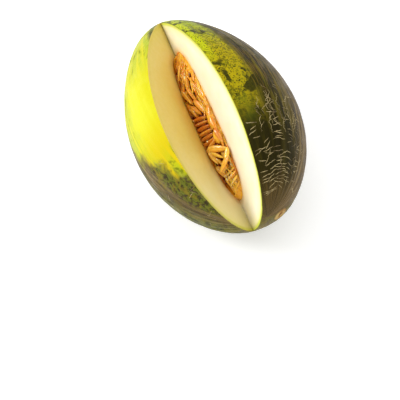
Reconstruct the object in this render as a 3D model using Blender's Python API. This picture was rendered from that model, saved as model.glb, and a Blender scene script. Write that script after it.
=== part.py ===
"""A ripe melon lying on its side, with one wedge cut out along its length.

The rind and flesh are one solid. The open wedge shows the seed pulp and the loose seeds that lie in it.
Frame: metres, +Z up, +X along the fruit from the blossom end to the stem end. The origin is on the
ground, below the middle of the fruit.
"""

import math

import bmesh
import bpy
from mathutils import Matrix, Vector
from mathutils.bvhtree import BVHTree

MM = 0.001
DEG = math.radians(1.0)

# The whole fruit
fruit_length = 200.0 * MM
belly_radius = 65.4 * MM
stem_end_fullness = 0.12       # share of the radius that moves from the blossom end to the stem end
end_tuck = 0.13                # share of the radius that both ends lose
flat_spot_depth = 0.8 * MM

# The wedge, about the core line where its two cut faces meet
wedge_angle = 48.8 * DEG
wedge_roll = 18.0 * DEG        # the opening leans from straight up towards -Y
core_dip = 13.3 * DEG          # the core line goes down towards the stem end
core_yaw = -1.9 * DEG
core_side = -3.8 * MM          # the core line at mid-length, from the fruit's axis
core_rise = -2.6 * MM

# The seed cavity, a long round hollow along the core line
cavity_length = 134.0 * MM
cavity_radius = 20.5 * MM
cavity_fullness = 2.3          # 2 makes an ellipse, and more makes the ends blunter
cavity_shift = 3.0 * MM        # along the core line
cavity_side = 7.0 * MM         # across the wedge
cavity_rise = 3.0 * MM         # up the wedge

# The pulp and the bed that it makes for the seeds
pulp_gap = 0.3 * MM
bed_depth = 3.6 * MM           # below the cavity's wall
bed_bump = 0.6 * MM
bed_bump_spacing = 9.0 * MM

# A seed
seed_length = 16.0 * MM
seed_width = 6.2 * MM
seed_thickness = 2.8 * MM
seed_gap = 0.3 * MM
seed_drop = 20.0 * MM          # height above the bed from which a seed is lowered
lowering_step = 0.15 * MM

# The scar where the stem broke off
scar_side = 13.3 * MM
scar_rise = -7.5 * MM
scar_radius = 5.6 * MM
scar_ring_width = 2.6 * MM
scar_ring_rise = 0.7 * MM
scar_dish_depth = 0.9 * MM

# Facets
turn_steps = 60
profile_steps = 32
cavity_steps = 28
seed_steps = 7

axis_height = belly_radius - flat_spot_depth
fruit_axis = Matrix.Translation((0, 0, axis_height))
wedge_frame = (
    fruit_axis
    @ Matrix.Translation((0, core_side, core_rise))
    @ Matrix.Rotation(core_yaw, 4, "Z")
    @ Matrix.Rotation(core_dip, 4, "Y")
    @ Matrix.Rotation(wedge_roll, 4, "X")
)
cavity_frame = wedge_frame @ Matrix.Translation((cavity_shift, cavity_side, cavity_rise))
bed_radius = cavity_radius - bed_depth
bed_half_length = cavity_length / 2 - bed_depth

# Rows of seeds, in the order they are laid in the bed. along is in millimetres from the cavity's middle
# towards the stem end, and around in degrees from the wedge's middle plane towards the +Y cut face.
# turn is from the core line towards that face, lean rolls a seed from lying flat onto its edge, tip
# lifts its pointed end, and size is its share of a full seed.
seed_rows = [
    dict(count=1, along=-55.5, around=-42, step=(0, 0), turn=-20, fan=0, lean=50, tip=0, size=0.60),
    dict(count=2, along=-50.5, around=-20, step=(9.5, 8), turn=-34, fan=8, lean=-48, tip=0, size=0.70),
    dict(count=2, along=-45.0, around=-43, step=(10.5, 1), turn=-28, fan=14, lean=24, tip=0, size=0.80),
    dict(count=2, along=-41.0, around=-27, step=(10.0, 1), turn=-24, fan=12, lean=56, tip=0, size=0.80),
    dict(count=2, along=-30.5, around=-10, step=(8.0, 10), turn=-6, fan=6, lean=58, tip=0, size=0.88),
    dict(count=2, along=-37.5, around=2, step=(25.0, 2), turn=-12, fan=4, lean=40, tip=0, size=0.66),
    dict(count=2, along=-24.0, around=-44, step=(12.0, 1), turn=22, fan=-2, lean=24, tip=0, size=1.00),
    dict(count=1, along=-12.0, around=-15, step=(0, 0), turn=18, fan=0, lean=12, tip=0, size=0.96),
    dict(count=1, along=-23.5, around=-26, step=(0, 0), turn=12, fan=0, lean=58, tip=0, size=0.82),
    dict(count=1, along=-10.0, around=-31, step=(0, 0), turn=26, fan=0, lean=55, tip=0, size=0.70),
    dict(count=6, along=-2.5, around=-30, step=(4.1, 0), turn=76, fan=3, lean=64, tip=3, size=0.86),
    dict(count=1, along=21.5, around=-33, step=(0, 0), turn=112, fan=0, lean=60, tip=4, size=0.86),
    dict(count=1, along=-3.0, around=1, step=(0, 0), turn=-12, fan=0, lean=40, tip=0, size=0.76),
    dict(count=2, along=7.5, around=0, step=(11.0, 0), turn=2, fan=6, lean=12, tip=0, size=0.80),
    dict(count=2, along=30.0, around=-45, step=(13.0, -1), turn=8, fan=6, lean=-48, tip=0, size=0.84),
    dict(count=2, along=33.0, around=-12, step=(11.5, 4), turn=-8, fan=4, lean=14, tip=0, size=0.66),
    dict(count=1, along=53.0, around=-50, step=(0, 0), turn=-10, fan=0, lean=40, tip=0, size=0.60),
    dict(count=4, along=46.5, around=-19, step=(3.8, -3), turn=-76, fan=3, lean=55, tip=0, size=0.70),
    dict(count=1, along=26.5, around=-20, step=(0, 0), turn=64, fan=0, lean=12, tip=2, size=1.08),
    dict(count=1, along=31.5, around=-29, step=(0, 0), turn=42, fan=0, lean=40, tip=2, size=0.74),
    dict(count=1, along=36.5, around=-33, step=(0, 0), turn=24, fan=0, lean=55, tip=2, size=0.60),
    dict(count=1, along=35.5, around=-2, step=(0, 0), turn=-30, fan=0, lean=12, tip=0, size=0.78),
    dict(count=1, along=41.5, around=-23, step=(0, 0), turn=-58, fan=0, lean=18, tip=0, size=0.86),
]


def fruit_radius(x):
    """The fruit's radius at x along its axis: an ellipse, fuller at the stem end and tucked at both."""
    share = 2 * x / fruit_length
    ellipse = math.sqrt(max(0.0, 1 - share * share))
    return belly_radius * ellipse * (1 + stem_end_fullness * share - end_tuck * share * share)


def material(name, colour, roughness):
    made = bpy.data.materials.new(name)
    made.use_nodes = True
    shader = made.node_tree.nodes["Principled BSDF"]
    shader.inputs["Base Color"].default_value = (*colour, 1.0)
    shader.inputs["Roughness"].default_value = roughness
    shader.inputs["Metallic"].default_value = 0.0
    return made


def add_object(name, mesh_data, made_of=None, matrix=None):
    """An object in the scene from a bmesh, which is freed."""
    mesh = bpy.data.meshes.new(name)
    bmesh.ops.recalc_face_normals(mesh_data, faces=mesh_data.faces)
    mesh_data.to_mesh(mesh)
    mesh_data.free()
    if made_of:
        mesh.materials.append(made_of)
    made = bpy.data.objects.new(name, mesh)
    made.matrix_world = matrix or Matrix()
    bpy.context.collection.objects.link(made)
    return made


def as_guide(made):
    made.hide_render = True
    made.display_type = "WIRE"
    return made


def turned(profile, steps):
    """A closed body: the (x, radius) profile turned about X. It starts and ends on the axis."""
    body = bmesh.new()
    points = [body.verts.new((x, 0, radius)) for x, radius in profile]
    edges = [body.edges.new(pair) for pair in zip(points, points[1:])]
    bmesh.ops.spin(
        body, geom=points + edges, axis=(1, 0, 0), cent=(0, 0, 0), angle=math.tau, steps=steps, use_merge=True
    )
    bmesh.ops.remove_doubles(body, verts=body.verts, dist=0.001 * MM)
    return body


def cut(made, cutter, operation="DIFFERENCE"):
    step = made.modifiers.new(cutter.name, "BOOLEAN")
    step.operation = operation
    step.solver = "EXACT"
    step.object = cutter


def round_profile(half_length, radius, steps, fullness=2.0):
    """Half a superellipse, from one end of the axis to the other."""
    angles = [math.pi * step / steps for step in range(steps + 1)]
    shares = [-math.cos(angle) for angle in angles]
    return [(half_length * share, radius * round_share(share, fullness)) for share in shares]


def round_share(share, fullness):
    return (1 - min(1.0, abs(share)) ** fullness) ** (1 / fullness)


# The fruit

def whole_fruit():
    """The uncut fruit about its own axis, with the flat spot under its belly."""
    ends = round_profile(fruit_length / 2, 1, profile_steps)
    body = turned([(x, fruit_radius(x)) for x, _ in ends], turn_steps)
    bmesh.ops.bisect_plane(
        body,
        geom=body.verts[:] + body.edges[:] + body.faces[:],
        plane_co=(0, 0, -axis_height),
        plane_no=(0, 0, -1),
        clear_outer=True,
    )
    bmesh.ops.holes_fill(body, edges=[edge for edge in body.edges if edge.is_boundary])
    return body


def wedge_cutter(name):
    """A long prism with its sharp edge on the core line, opening upwards in the wedge's frame."""
    reach = fruit_length
    half_width = reach * math.tan(wedge_angle / 2)
    body = bmesh.new()
    ends = []
    for x in (-reach, reach):
        corners = [(x, 0, 0), (x, half_width, reach), (x, -half_width, reach)]
        ends.append([body.verts.new(corner) for corner in corners])
    body.faces.new(ends[0])
    body.faces.new(ends[1])
    for side in range(3):
        near, far = side, (side + 1) % 3
        body.faces.new((ends[0][near], ends[0][far], ends[1][far], ends[1][near]))
    return as_guide(add_object(name, body, matrix=wedge_frame))


def cavity_body(name, gap, made_of=None):
    """The cavity's shape, drawn in by a gap."""
    profile = round_profile(cavity_length / 2 - gap, cavity_radius - gap, cavity_steps, cavity_fullness)
    return add_object(name, turned(profile, cavity_steps), made_of, cavity_frame)


def scar_frame():
    """The stem scar's place on the rind, with X along the rind's outward normal."""
    off_axis = math.hypot(scar_side, scar_rise)
    low, high = 0.0, fruit_length / 2
    for _ in range(40):
        middle = (low + high) / 2
        if fruit_radius(middle) > off_axis:
            low = middle
        else:
            high = middle
    slope = (fruit_radius(low + 0.1 * MM) - fruit_radius(low - 0.1 * MM)) / (0.2 * MM)
    outward = Vector((-slope * off_axis, scar_side, scar_rise)).normalized()
    turn = outward.to_track_quat("X", "Z").to_matrix().to_4x4()
    return fruit_axis @ Matrix.Translation((low, scar_side, scar_rise)) @ turn


def scar_collar():
    """The raised collar round the scar, filled in, with its foot sunk in the rind."""
    crest = scar_radius - scar_ring_width / 2
    foot = -3 * scar_dish_depth
    low = scar_ring_rise / 2
    profile = [(foot, 0), (foot, scar_radius), (-low, scar_radius), (scar_ring_rise, crest), (low, 0)]
    return as_guide(add_object("scar_collar", turned(profile, 24), matrix=scar_frame()))


def scar_well():
    """The dish inside the collar."""
    mouth = scar_radius - scar_ring_width / 2
    rim = 2 * scar_ring_rise
    profile = [(-scar_dish_depth, 0), (-scar_dish_depth, mouth / 3), (rim, mouth), (rim, 0)]
    return as_guide(add_object("scar_well", turned(profile, 24), matrix=scar_frame()))


def build_melon():
    rind = material("rind_and_flesh", (0.10, 0.13, 0.03), 0.4)
    melon = add_object("melon_body", whole_fruit(), rind, fruit_axis)
    cut(melon, scar_collar(), "UNION")
    cut(melon, scar_well())
    cut(melon, wedge_cutter("wedge_cutter"))
    cut(melon, as_guide(cavity_body("cavity_cutter", 0)))
    return melon


# The pulp

def bed_lump():
    """The pulp below the bed: the cavity's shape, smaller, with soft bumps all over."""
    profile = round_profile(bed_half_length, bed_radius, cavity_steps, cavity_fullness)
    body = turned(profile, cavity_steps)
    wave = math.tau / bed_bump_spacing
    for vert in body.verts:
        off_axis = math.hypot(vert.co.y, vert.co.z)
        around = math.atan2(vert.co.y, vert.co.z)
        bump = bed_bump * math.sin(wave * vert.co.x) * math.cos(wave * bed_radius * around)
        if off_axis > 2 * bed_bump:
            vert.co.y += bump * vert.co.y / off_axis
            vert.co.z += bump * vert.co.z / off_axis
    return as_guide(add_object("bed_lump", body, matrix=cavity_frame))


def build_pulp():
    """The cavity's filling, hollowed inside the wedge down to the bed."""
    soft = material("seed_pulp", (0.72, 0.34, 0.05), 0.3)
    hollow = wedge_cutter("hollow_cutter")
    cut(hollow, bed_lump())
    pulp = cavity_body("seed_pulp", pulp_gap, soft)
    cut(pulp, hollow)
    return pulp


# The seeds

def seed_body(extra):
    """A flat drop along X, pointed at +X and round at -X, grown by extra on every side."""
    half_length = seed_length / 2 + extra
    half_width = seed_width / 2 + extra
    half_thickness = seed_thickness / 2 + extra
    profile = []
    for step in range(seed_steps + 1):
        angle = math.pi * step / seed_steps
        share = math.sin(angle) * (1 - 0.22 * (1 - math.cos(angle)) ** 1.5)
        profile.append((-half_length * math.cos(angle), half_width * share))
    body = turned(profile, seed_steps)
    bmesh.ops.scale(body, vec=(1, half_thickness / half_width, 1), verts=body.verts)
    bmesh.ops.rotate(body, matrix=Matrix.Rotation(math.pi / 2, 3, "X"), verts=body.verts)
    return body


def bed_place(along, around):
    """A frame on the bed: Z out of it, X along the fruit and Y towards the +Y cut face."""
    def off_axis(x):
        return bed_radius * round_share(x / bed_half_length, cavity_fullness)

    slope = (off_axis(along + MM) - off_axis(along - MM)) / (2 * MM)
    forward = Vector((1, slope * math.sin(around), slope * math.cos(around))).normalized()
    side = Vector((0, math.cos(around), -math.sin(around)))
    turn = Matrix((forward, side, forward.cross(side))).transposed().to_4x4()
    point = (along, off_axis(along) * math.sin(around), off_axis(along) * math.cos(around))
    return cavity_frame @ Matrix.Translation(point) @ turn


def seed_places():
    """Each seed's place on the bed, how it is turned there and its size, row by row."""
    for row in seed_rows:
        for number in range(row["count"]):
            along = (row["along"] + number * row["step"][0]) * MM
            around = (row["around"] + number * row["step"][1]) * DEG
            turn = (row["turn"] + number * row["fan"]) * DEG
            turned_seed = (
                Matrix.Rotation(turn, 4, "Z")
                @ Matrix.Rotation(-row["tip"] * DEG, 4, "Y")
                @ Matrix.Rotation(row["lean"] * DEG, 4, "X")
            )
            yield bed_place(along, around), turned_seed, row["size"]


def tree_of(made):
    """The object's finished surface, in world space, for collision tests."""
    evaluated = made.evaluated_get(bpy.context.evaluated_depsgraph_get())
    shape = bmesh.new()
    shape.from_mesh(evaluated.to_mesh())
    evaluated.to_mesh_clear()
    shape.transform(made.matrix_world)
    tree = BVHTree.FromBMesh(shape)
    shape.free()
    return tree


def lowered(place, turned_seed, size, obstacles):
    """The seed's matrix where it comes to lie: lowered into the wedge until it would touch."""
    up_the_wedge = wedge_frame.to_3x3() @ Vector((0, 0, 1))
    height = seed_drop
    lying = Matrix.Translation(height * up_the_wedge) @ place @ turned_seed
    while height > -bed_radius:
        matrix = Matrix.Translation(height * up_the_wedge) @ place @ turned_seed @ Matrix.Scale(size, 4)
        shape = seed_body(seed_gap / size)
        shape.transform(matrix)
        tree = BVHTree.FromBMesh(shape)
        shape.free()
        if any(tree.overlap(obstacle) for obstacle in obstacles):
            break
        lying = matrix
        height -= lowering_step
    return lying


def build_seeds(melon, pulp):
    husk = material("seed", (0.80, 0.42, 0.10), 0.3)
    shared = bpy.data.meshes.new("seed")
    shape = seed_body(0)
    bmesh.ops.recalc_face_normals(shape, faces=shape.faces)
    shape.to_mesh(shared)
    shape.free()
    shared.materials.append(husk)
    bpy.context.view_layer.update()
    obstacles = [tree_of(melon), tree_of(pulp)]
    for number, (place, turned_seed, size) in enumerate(seed_places(), start=1):
        seed = bpy.data.objects.new(f"seed_{number:02d}", shared)
        seed.matrix_world = lowered(place, turned_seed, size, obstacles)
        bpy.context.collection.objects.link(seed)
        bpy.context.view_layer.update()
        obstacles.append(tree_of(seed))


def main():
    for old in list(bpy.data.objects):
        bpy.data.objects.remove(old, do_unlink=True)
    melon = build_melon()
    pulp = build_pulp()
    build_seeds(melon, pulp)


main()
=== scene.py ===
import math

import bmesh
import bpy
import numpy as np
from mathutils import Matrix, Vector
from mathutils.bvhtree import BVHTree


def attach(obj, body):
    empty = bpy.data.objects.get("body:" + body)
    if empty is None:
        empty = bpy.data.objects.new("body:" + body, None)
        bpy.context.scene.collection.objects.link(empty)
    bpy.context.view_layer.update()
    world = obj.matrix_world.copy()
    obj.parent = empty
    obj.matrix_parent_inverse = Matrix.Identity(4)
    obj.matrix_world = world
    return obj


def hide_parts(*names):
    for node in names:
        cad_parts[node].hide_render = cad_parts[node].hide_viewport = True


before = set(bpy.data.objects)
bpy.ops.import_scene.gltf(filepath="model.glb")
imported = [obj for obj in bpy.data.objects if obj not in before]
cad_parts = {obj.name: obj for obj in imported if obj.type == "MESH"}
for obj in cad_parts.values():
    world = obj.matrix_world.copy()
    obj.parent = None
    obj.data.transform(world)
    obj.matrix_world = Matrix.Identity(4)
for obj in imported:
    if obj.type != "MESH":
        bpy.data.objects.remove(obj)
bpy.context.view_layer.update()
mm = 0.001
deg = math.radians(1.0)


# Shape of the fruit, as the CAD has it

fruit = dict(length=200 * mm, belly=65.4 * mm, stemFullness=0.12, endTuck=0.13, flatSpot=0.8 * mm)
wedge = dict(angle=48.8 * deg, roll=18 * deg, dip=13.3 * deg, yaw=-1.9 * deg, side=-3.8 * mm, rise=-2.6 * mm)
cavity = dict(
    length=134 * mm, radius=20.5 * mm, fullness=2.3, shift=3 * mm, side=7 * mm, rise=3 * mm, bed=3.6 * mm
)
scar = dict(side=13.3 * mm, rise=-7.5 * mm, radius=5.6 * mm, ring=2.6 * mm, ringRise=0.7 * mm, dish=0.9 * mm)

axisHeight = fruit["belly"] - fruit["flatSpot"]
fruitFrame = Matrix.Translation((0, 0, axisHeight))
wedgeFrame = (
    fruitFrame
    @ Matrix.Translation((0, wedge["side"], wedge["rise"]))
    @ Matrix.Rotation(wedge["yaw"], 4, "Z")
    @ Matrix.Rotation(wedge["dip"], 4, "Y")
    @ Matrix.Rotation(wedge["roll"], 4, "X")
)
cavityFrame = wedgeFrame @ Matrix.Translation((cavity["shift"], cavity["side"], cavity["rise"]))


def ringRadius(share):
    # The fruit's radius at a share of its half length, from -1 at the blossom end to 1 at the stem end
    ellipse = np.sqrt(np.clip(1 - share * share, 0, None))
    return fruit["belly"] * ellipse * (1 + fruit["stemFullness"] * share - fruit["endTuck"] * share * share)


def cavityRadius(along, gap=0.0):
    share = np.clip(np.abs(along) / (cavity["length"] / 2 - gap), 0, 1)
    return (cavity["radius"] - gap) * (1 - share ** cavity["fullness"]) ** (1 / cavity["fullness"])


# Smooth random numbers over a surface, the same on each run

class RandomField:
    def __init__(self, seed, size=128):
        self.size = size
        self.values = np.random.RandomState(seed).random_sample((size, size))

    def at(self, u, v):
        u, v = np.broadcast_arrays(np.asarray(u, float), np.asarray(v, float))
        lowU, lowV = np.floor(u).astype(int), np.floor(v).astype(int)
        partU, partV = u - lowU, v - lowV
        partU, partV = partU * partU * (3 - 2 * partU), partV * partV * (3 - 2 * partV)
        near, far = lowU % self.size, (lowU + 1) % self.size
        left, rightOne = lowV % self.size, (lowV + 1) % self.size
        first = self.values[near, left] * (1 - partV) + self.values[near, rightOne] * partV
        second = self.values[far, left] * (1 - partV) + self.values[far, rightOne] * partV
        return (first * (1 - partU) + second * partU) * 2 - 1

    def ridges(self, u, v, sharpness=3.0):
        return (1 - np.abs(self.at(u, v))) ** sharpness


def smoothStep(low, high, value):
    part = np.clip((value - low) / (high - low), 0, 1)
    return part * part * (3 - 2 * part)


def blurred(grid, along, across):
    # A soft average over a grid, by a bell of the given half widths in cells
    for axis, width in ((0, along), (1, across)):
        reach = int(math.ceil(2.5 * width))
        bell = np.exp(-0.5 * (np.arange(-reach, reach + 1) / max(width, 0.01)) ** 2)
        bell /= bell.sum()
        padding = [(reach, reach) if axis == number else (0, 0) for number in (0, 1)]
        padded = np.pad(grid, padding, mode="edge")
        grid = np.apply_along_axis(lambda line: np.convolve(line, bell, mode="valid"), axis, padded)
    return grid


# Meshes

def writeMark(mesh, key, values):
    mark = mesh.attributes.new(key, "FLOAT", "POINT")
    mark.data.foreach_set("value", np.asarray(values, np.float32).ravel())


def readVectors(items, key):
    values = np.empty(len(items) * 3)
    items.foreach_get(key, values)
    return values.reshape(-1, 3)


def linkedObject(name, mesh):
    made = bpy.data.objects.new(name, mesh)
    bpy.context.collection.objects.link(made)
    return made


def meshObject(name, points, faces, materials=(), marks=None, smooth=True):
    mesh = bpy.data.meshes.new(name)
    mesh.from_pydata(points, [], faces)
    for made in materials:
        mesh.materials.append(made)
    for key, values in (marks or {}).items():
        writeMark(mesh, key, values)
    if smooth:
        mesh.polygons.foreach_set("use_smooth", [True] * len(mesh.polygons))
    mesh.update()
    return linkedObject(name, mesh)


def poleTurns(steps):
    # Even turns from one pole to the other, without the poles
    return np.linspace(0, math.pi, steps + 1)[1:-1]


def fullCircle(steps):
    return np.linspace(0, math.tau, steps, endpoint=False)[None, :]


def aboutAxis(along, radius, angle):
    return np.stack(np.broadcast_arrays(along, radius * np.sin(angle), radius * np.cos(angle)), -1)


def axisEnds(halfLength):
    return np.array([(-halfLength, 0, 0), (halfLength, 0, 0)])


def closedShell(points, ends):
    # Corners and faces of a grid of rings that closes on an end point at each side
    rings, around = points.shape[:2]
    return np.concatenate([points.reshape(-1, 3), ends]), turnedFaces(rings, around)


def turnedFaces(rings, around):
    # Quads between closed rings of points, and a fan of triangles onto the two poles that follow them.
    # Rings go along +X and points go from +Z towards +Y, so these faces point outwards
    firstPole, lastPole = rings * around, rings * around + 1
    faces = []
    for ring in range(rings - 1):
        for step in range(around):
            after = (step + 1) % around
            low, high = ring * around, (ring + 1) * around
            faces.append((low + step, high + step, high + after, low + after))
    last = (rings - 1) * around
    for step in range(around):
        after = (step + 1) % around
        faces.append((firstPole, step, after))
        faces.append((lastPole, last + after, last + step))
    return faces


def moved(points, matrix):
    turn = np.array(matrix.to_3x3())
    return np.asarray(points) @ turn.T + np.array(matrix.translation)


def appliedObject(made, name):
    # What the modifiers make, as a new plain mesh in place of the old one
    bpy.context.view_layer.update()
    evaluated = made.evaluated_get(bpy.context.evaluated_depsgraph_get())
    mesh = bpy.data.meshes.new_from_object(evaluated)
    mesh.name = name
    made.modifiers.clear()
    made.data = mesh
    made.name = name
    return made


def finishPiece(made, slotName, *nodes):
    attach(made, "root")
    if nodes:
        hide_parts(*nodes)
    print(f"piece {made.name}: {len(made.data.polygons)} faces")


# Node trees

def paint(red, green, blue):
    # A colour on a 0 to 255 scale, as the shader's linear colour
    def linear(value):
        value /= 255
        return value / 12.92 if value <= 0.04045 else ((value + 0.055) / 1.055) ** 2.4

    return (linear(red), linear(green), linear(blue), 1.0)


class Bench:
    # Lays nodes in one tree. An argument that is a socket is linked, and anything else is set
    def __init__(self, tree):
        self.tree = tree

    def feed(self, socket, value):
        if isinstance(value, bpy.types.NodeSocket):
            self.tree.links.new(value, socket)
        else:
            socket.default_value = value

    def add(self, kind, settings=None, **inputs):
        node = self.tree.nodes.new(kind)
        for key, value in (settings or {}).items():
            setattr(node, key, value)
        for key, value in inputs.items():
            self.feed(node.inputs[key.replace("_", " ")], value)
        return node

    def math(self, operation, first, second=0.0):
        node = self.add("ShaderNodeMath", dict(operation=operation))
        self.feed(node.inputs[0], first)
        self.feed(node.inputs[1], second)
        return node.outputs[0]

    def plus(self, first, second):
        return self.math("ADD", first, second)

    def less(self, first, second):
        return self.math("SUBTRACT", first, second)

    def times(self, first, second):
        return self.math("MULTIPLY", first, second)

    def over(self, first, second):
        return self.math("DIVIDE", first, second)

    def length(self, first, second):
        return self.math("SQRT", self.plus(self.times(first, first), self.times(second, second)))

    def between(self, value, low, high, start=0.0, end=1.0, kind="SMOOTHSTEP"):
        node = self.add("ShaderNodeMapRange", dict(interpolation_type=kind))
        for number, item in enumerate((value, low, high, start, end)):
            self.feed(node.inputs[number], item)
        return node.outputs[0]

    def band(self, value, low, high, soft):
        # 1 between low and high, and 0 outside, over a soft edge
        rise = self.between(value, low - soft, low + soft)
        fall = self.between(value, high - soft, high + soft, 1.0, 0.0)
        return self.times(rise, fall)

    def mixed(self, factor, first, second, blend="MIX"):
        node = self.add("ShaderNodeMix", dict(data_type="RGBA", blend_type=blend))
        for number, item in ((0, factor), (6, first), (7, second)):
            self.feed(node.inputs[number], item)
        return node.outputs[2]

    def ramp(self, value, *stops):
        node = self.add("ShaderNodeValToRGB", Fac=value)
        points = node.color_ramp.elements
        while len(points) < len(stops):
            points.new(0.5)
        for point, (place, colour) in zip(points, stops):
            point.position, point.color = place, colour
        return node.outputs["Color"]

    def noise(self, vector, scale, detail=3.0, roughness=0.55, distortion=0.0):
        return self.add(
            "ShaderNodeTexNoise", Vector=vector, Scale=scale, Detail=detail, Roughness=roughness,
            Distortion=distortion,
        ).outputs["Fac"]

    def cells(self, vector, scale):
        return self.add("ShaderNodeTexVoronoi", Vector=vector, Scale=scale).outputs["Distance"]

    def mark(self, name, output="Fac"):
        # One of the mesh's own attributes
        return self.add("ShaderNodeAttribute", dict(attribute_name=name)).outputs[output]

    def layered(self, colour, *layers):
        # Tones laid over a colour in turn, each by its mask
        for mask, tone in layers:
            colour = self.mixed(mask, colour, tone)
        return colour

    def joined(self, x, y, z):
        return self.add("ShaderNodeCombineXYZ", X=x, Y=y, Z=z).outputs[0]

    def stretched(self, vector, x, y, z):
        return self.add("ShaderNodeMapping", Vector=vector, Scale=(x, y, z)).outputs[0]

    def bump(self, height, distance, strength=1.0, normal=None):
        node = self.add("ShaderNodeBump", Height=height, Distance=distance, Strength=strength)
        if normal:
            self.feed(node.inputs["Normal"], normal)
        return node.outputs[0]

    def group(self, tree, **inputs):
        node = self.add("ShaderNodeGroup", dict(node_tree=tree))
        for key, value in inputs.items():
            self.feed(node.inputs[key], value)
        return node.outputs


def shaderGroup(name, inputs, outputs):
    tree = bpy.data.node_groups.new(name, "ShaderNodeTree")
    for key, value in inputs.items():
        tree.interface.new_socket(key, in_out="INPUT", socket_type="NodeSocketFloat").default_value = value
    for key in outputs:
        tree.interface.new_socket(key, in_out="OUTPUT", socket_type="NodeSocketFloat")
    bench = Bench(tree)
    return tree, bench, tree.nodes.new("NodeGroupInput").outputs, tree.nodes.new("NodeGroupOutput").inputs


def newMaterial(name, **settings):
    made = bpy.data.materials.new(name)
    made.use_nodes = True
    shader = made.node_tree.nodes["Principled BSDF"]
    for key, value in settings.items():
        shader.inputs[key.replace("_", " ")].default_value = value
    return made, Bench(made.node_tree), shader


def objectPlace(bench):
    return bench.add("ShaderNodeTexCoord").outputs["Object"]


def framePlace(bench, place, matrix):
    # A place seen from a frame: the frame's move and turn are taken off
    node = bench.add("ShaderNodeMapping", dict(vector_type="TEXTURE"), Vector=place)
    node.inputs["Location"].default_value = matrix.translation
    node.inputs["Rotation"].default_value = matrix.to_euler()
    return bench.add("ShaderNodeSeparateXYZ", Vector=node.outputs[0]).outputs


# Where a point is in the fruit: its share along, its angle from the top, and its depth under the skin in mm

def fruitPlaceGroup():
    tree, bench, _, out = shaderGroup("fruitPlace", {}, ("Along", "Around", "Across", "Up", "Depth"))
    x, y, z = bench.add("ShaderNodeSeparateXYZ", Vector=objectPlace(bench)).outputs
    z = bench.less(z, axisHeight)
    share = bench.over(x, fruit["length"] / 2)
    off = bench.math("MAXIMUM", bench.length(y, z), 1e-6)
    fullness = bench.plus(
        1.0, bench.times(share, bench.less(fruit["stemFullness"], bench.times(share, fruit["endTuck"])))
    )
    radius = bench.times(fullness, fruit["belly"])
    size = bench.length(share, bench.over(off, radius))
    steepness = bench.length(
        bench.over(share, fruit["length"] / 2), bench.over(off, bench.times(radius, radius))
    )
    depth = bench.over(bench.times(bench.less(1.0, size), size), steepness)
    bench.feed(out["Along"], share)
    bench.feed(out["Around"], bench.over(bench.math("ARCTAN2", y, z), deg))
    bench.feed(out["Across"], bench.over(y, off))
    bench.feed(out["Up"], bench.over(z, off))
    bench.feed(out["Depth"], bench.over(depth, mm))
    return tree


# How far a point is from the seed cavity's wall, and from the core line, in mm

def cavityPlaceGroup():
    tree, bench, _, out = shaderGroup("cavityPlace", {}, ("Distance", "Core", "Side", "Ahead"))
    place = objectPlace(bench)
    x, y, z = framePlace(bench, place, cavityFrame)
    power = cavity["fullness"]
    ends = bench.math("ABSOLUTE", bench.over(x, cavity["length"] / 2))
    sides = bench.over(bench.length(y, z), cavity["radius"])
    size = bench.math(
        "POWER",
        bench.plus(bench.math("POWER", ends, power), bench.math("POWER", sides, power)),
        1 / power,
    )
    endPull = bench.over(bench.math("POWER", ends, power - 1), cavity["length"] / 2)
    sidePull = bench.over(bench.math("POWER", sides, power - 1), cavity["radius"])
    steepness = bench.over(bench.length(endPull, sidePull), bench.math("POWER", size, power - 1))
    bench.feed(out["Distance"], bench.over(bench.over(bench.less(size, 1.0), steepness), mm))
    x, y, z = framePlace(bench, place, wedgeFrame)
    bench.feed(out["Core"], bench.over(bench.length(y, z), mm))
    bench.feed(out["Side"], bench.over(y, mm))
    bench.feed(out["Ahead"], bench.over(x, mm))
    return tree


# Uneven wetness: a roughness and a fine relief for anything that is moist

def wetFilmGroup():
    tree, bench, got, out = shaderGroup(
        "wetFilm", {"Grain": 900.0, "Dry": 0.42, "Wet": 0.12}, ("Roughness", "Relief")
    )
    place = objectPlace(bench)
    patches = bench.noise(place, 260.0, 3.0)
    fine = bench.noise(place, got["Grain"], 4.0, 0.6)
    wet = bench.between(patches, 0.4, 0.62)
    bench.feed(out["Roughness"], bench.between(wet, 0.0, 1.0, got["Dry"], got["Wet"], "LINEAR"))
    bench.feed(out["Relief"], bench.plus(bench.times(fine, 0.6), bench.times(patches, 0.4)))
    return tree


fruitPlace = fruitPlaceGroup()
cavityPlace = cavityPlaceGroup()
wetFilm = wetFilmGroup()


def wetSurface(bench, shader, look, relief=None):
    film = bench.group(wetFilm, Grain=look["filmGrain"], Dry=look["dry"], Wet=look["wet"])
    bench.feed(shader.inputs["Roughness"], film["Roughness"])
    normal = bench.bump(film["Relief"], look["filmRise"], look["filmStrength"], relief)
    bench.feed(shader.inputs["Normal"], normal)


# Rind

rindLook = dict(
    deepGreen=paint(40, 34, 5), green=paint(60, 58, 8), olive=paint(124, 110, 18),
    bandOlive=paint(176, 158, 4),
    brown=paint(110, 86, 44), greyBrownSheen=paint(146, 124, 88), umber=paint(122, 96, 36), plum=paint(66, 52, 36),
    yellow=paint(198, 190, 6), highlightYellow=paint(206, 206, 46), gold=paint(200, 176, 0),
    greenYellow=paint(164, 176, 20), edgeYellow=paint(196, 204, 10), leaf=paint(92, 100, 10),
    tan=paint(186, 158, 98), scarBrown=paint(150, 112, 64), scarHeart=paint(104, 50, 30),
    pore=paint(44, 44, 10),
    poreScale=720.0, poreDepth=0.12 * mm, streakRise=0.5 * mm, mottleRise=0.5 * mm,
    specular=0.08, coat=0.03, coatRoughness=0.3, roughness=(0.36, 0.56), scarRoughness=0.3,
)
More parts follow.
